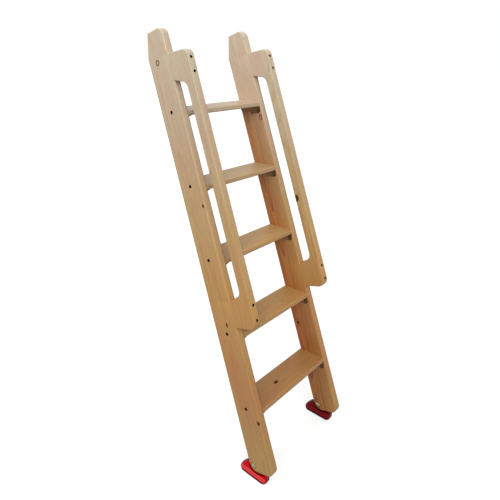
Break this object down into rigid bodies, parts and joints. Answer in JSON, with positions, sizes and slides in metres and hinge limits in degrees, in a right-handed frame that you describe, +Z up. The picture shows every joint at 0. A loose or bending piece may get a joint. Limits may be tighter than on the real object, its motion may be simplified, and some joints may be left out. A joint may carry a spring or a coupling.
{
  "type": "bunk bed ladder",
  "caption": "Leaning wooden bunk bed ladder with flat treads, slotted handrails along both stringers, plumb-cut tops that rest on the bed, and red plastic feet.",
  "frame": {"origin": "centre of the left stringer's plumb cut, the upright face that rests on the bed", "axes": "+Z up, +X along the treads from the left stringer to the right one as a climber sees them, +Y from the climber towards the bed"},
  "size_m": [0.423, 0.556, 1.4974],
  "materials": {
    "pine": "clear satin varnish",
    "steel": "zinc plated",
    "foot_plastic": "glossy"
  },
  "bodies": {
    "root": {"left_stringer": "pine", "left_handrail": "pine", "left_foot": "foot_plastic", "left_foot_nut": "steel", "left_bed_nut": "steel", "left_handrail_screw_1": "steel", "left_handrail_screw_2": "steel", "left_handrail_screw_3": "steel", "left_handrail_screw_4": "steel", "right_stringer": "pine", "right_handrail": "pine", "right_foot": "foot_plastic", "right_foot_nut": "steel", "right_bed_nut": "steel", "right_handrail_screw_1": "steel", "right_handrail_screw_2": "steel", "right_handrail_screw_3": "steel", "right_handrail_screw_4": "steel", "tread_1": "pine", "left_tread_bolt_1": "steel", "left_tread_bracket_1": "steel", "right_tread_bolt_1": "steel", "right_tread_bracket_1": "steel", "tread_2": "pine", "left_tread_bolt_2": "steel", "left_tread_bracket_2": "steel", "right_tread_bolt_2": "steel", "right_tread_bracket_2": "steel", "tread_3": "pine", "left_tread_bolt_3": "steel", "left_tread_bracket_3": "steel", "right_tread_bolt_3": "steel", "right_tread_bracket_3": "steel", "tread_4": "pine", "left_tread_bolt_4": "steel", "left_tread_bracket_4": "steel", "right_tread_bolt_4": "steel", "right_tread_bracket_4": "steel", "tread_5": "pine", "left_tread_bolt_5": "steel", "left_tread_bracket_5": "steel", "right_tread_bolt_5": "steel", "right_tread_bracket_5": "steel"}
  },
  "joints": []
}
